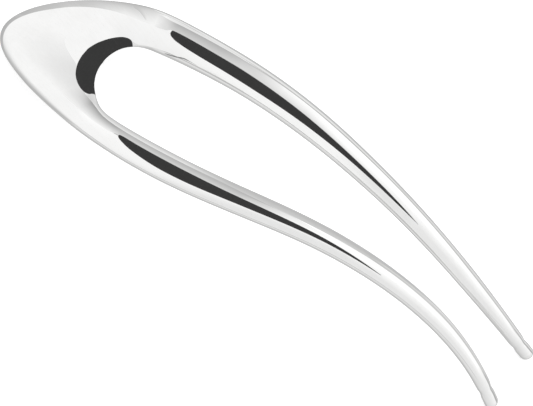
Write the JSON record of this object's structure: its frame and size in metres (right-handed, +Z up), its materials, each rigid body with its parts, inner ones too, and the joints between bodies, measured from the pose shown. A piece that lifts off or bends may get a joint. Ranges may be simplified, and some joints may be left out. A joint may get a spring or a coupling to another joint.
{
  "type": "two-prong hairpin",
  "caption": "Two-prong hairpin in polished silver: leaf-shaped head, U-shaped gap, and bowed tapering prongs that end in small balls.",
  "frame": {"origin": "on the surface that the pin lies on, under the middle of its box", "axes": "+X along the pin from the head towards the ball tips, +Y across it, +Z up, with the pin lying on its head's end and both ball tips and its bow upwards"},
  "size_m": [0.1184, 0.0332, 0.0205],
  "materials": {
    "silver": "mirror-polished solid silver with very fine polishing marks"
  },
  "bodies": {
    "root": {"hairpin": "silver"}
  },
  "joints": []
}
